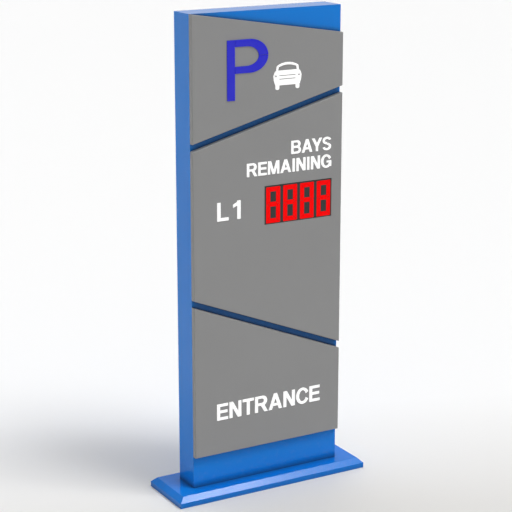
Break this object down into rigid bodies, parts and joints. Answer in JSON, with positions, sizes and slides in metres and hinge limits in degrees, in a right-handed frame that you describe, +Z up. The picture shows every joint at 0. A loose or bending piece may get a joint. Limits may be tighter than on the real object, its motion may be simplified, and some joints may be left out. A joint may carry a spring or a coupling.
{
  "type": "parking guidance totem",
  "caption": "Free-standing sheet-metal parking totem with slanted grey front panels, a seven-segment free-space display, a bevelled plinth and a hinged rear service door.",
  "frame": {"origin": "on the floor, at the middle of the plinth's footprint", "axes": "+Z up, +X to the right seen from the front, so the display side faces -Y and the service door +Y"},
  "size_m": [0.9, 0.28, 2.02],
  "materials": {
    "blue_paint": "gloss",
    "plinth_paint": "gloss",
    "grey_panel": "satin",
    "zinc_plate": "galvanised",
    "frame_primer": "matt",
    "stainless": "brushed",
    "latch_chrome": "polished",
    "parking_blue": "gloss",
    "white_acrylic": "gloss",
    "housing_black": "matt",
    "led_red": "lit lens",
    "circuit_board": "solder mask",
    "seal_rubber": "matt",
    "filter_felt": "felt",
    "supply_case": "satin",
    "device_grey": "matt",
    "device_black": "matt",
    "lead_sheath": "matt"
  },
  "bodies": {
    "cabinet": {"availability_lettering": "white_acrylic", "base_cover": "plinth_paint", "base_plate": "frame_primer", "cable_entry_grommet": "seal_rubber", "car_pictogram": "white_acrylic", "circuit_breaker": "device_grey", "cover_screws": "stainless", "cover_spacers": "frame_primer", "digit_segments": "led_red", "din_rail": "zinc_plate", "display_board": "circuit_board", "display_controller": "device_grey", "display_housing": "housing_black", "display_mask": "housing_black", "display_mounting_plate": "zinc_plate", "display_sockets": "device_black", "door_gasket": "seal_rubber", "door_surround_bottom": "blue_paint", "door_surround_left": "blue_paint", "door_surround_right": "blue_paint", "door_surround_top": "blue_paint", "entrance_lettering": "white_acrylic", "equipment_plate": "zinc_plate", "fan_bracket": "zinc_plate", "fan_frame": "device_black", "frame_gussets": "frame_primer", "frame_post_left": "frame_primer", "frame_post_right": "frame_primer", "frame_rails": "frame_primer", "front_skin": "blue_paint", "hinge_frame_leaves": "stainless", "hinge_pins": "stainless", "hook_rails": "zinc_plate", "internal_wiring": "lead_sheath", "lead_strip": "zinc_plate", "left_skin": "blue_paint", "level_lettering": "white_acrylic", "lower_panel": "grey_panel", "middle_panel": "grey_panel", "panel_brackets": "zinc_plate", "panel_lock_screws": "stainless", "parking_letter": "parking_blue", "plate_screws": "stainless", "power_supply": "supply_case", "right_skin": "blue_paint", "surround_screws": "stainless", "terminal_blocks": "device_grey", "top_cap": "blue_paint", "upper_panel": "grey_panel"},
    "service_door": {"service_door": "blue_paint", "door_stiffeners": "zinc_plate", "vent_louvres": "blue_paint", "vent_filters": "filter_felt", "door_screws": "stainless", "hinge_door_leaves": "stainless", "latch_bodies": "latch_chrome"},
    "upper_latch_cam": {"upper_latch_cam": "latch_chrome"},
    "lower_latch_cam": {"lower_latch_cam": "latch_chrome"},
    "breaker_toggle": {"breaker_toggle": "device_black"},
    "fan_rotor": {"fan_rotor": "device_black"}
  },
  "joints": [
    {"name": "service_door_hinge", "type": "hinge", "parent": "cabinet", "child": "service_door", "pos_m": [0.3195, 0.0675, 1.038], "axis": [0, 0, -1], "range_deg": [0, 170]},
    {"name": "upper_latch_turn", "type": "hinge", "parent": "service_door", "child": "upper_latch_cam", "pos_m": [-0.285, 0.05, 1.45], "axis": [0, 1, 0], "range_deg": [0, 90]},
    {"name": "lower_latch_turn", "type": "hinge", "parent": "service_door", "child": "lower_latch_cam", "pos_m": [-0.285, 0.05, 0.6], "axis": [0, 1, 0], "range_deg": [0, 90]},
    {"name": "breaker_switch", "type": "hinge", "parent": "cabinet", "child": "breaker_toggle", "pos_m": [-0.142, 0.037, 0.7225], "axis": [-1, 0, 0], "range_deg": [0, 72]},
    {"name": "fan_spin", "type": "hinge", "parent": "cabinet", "child": "fan_rotor", "pos_m": [0, 0.0245, 1.805], "axis": [0, 1, 0], "continuous": true}
  ]
}
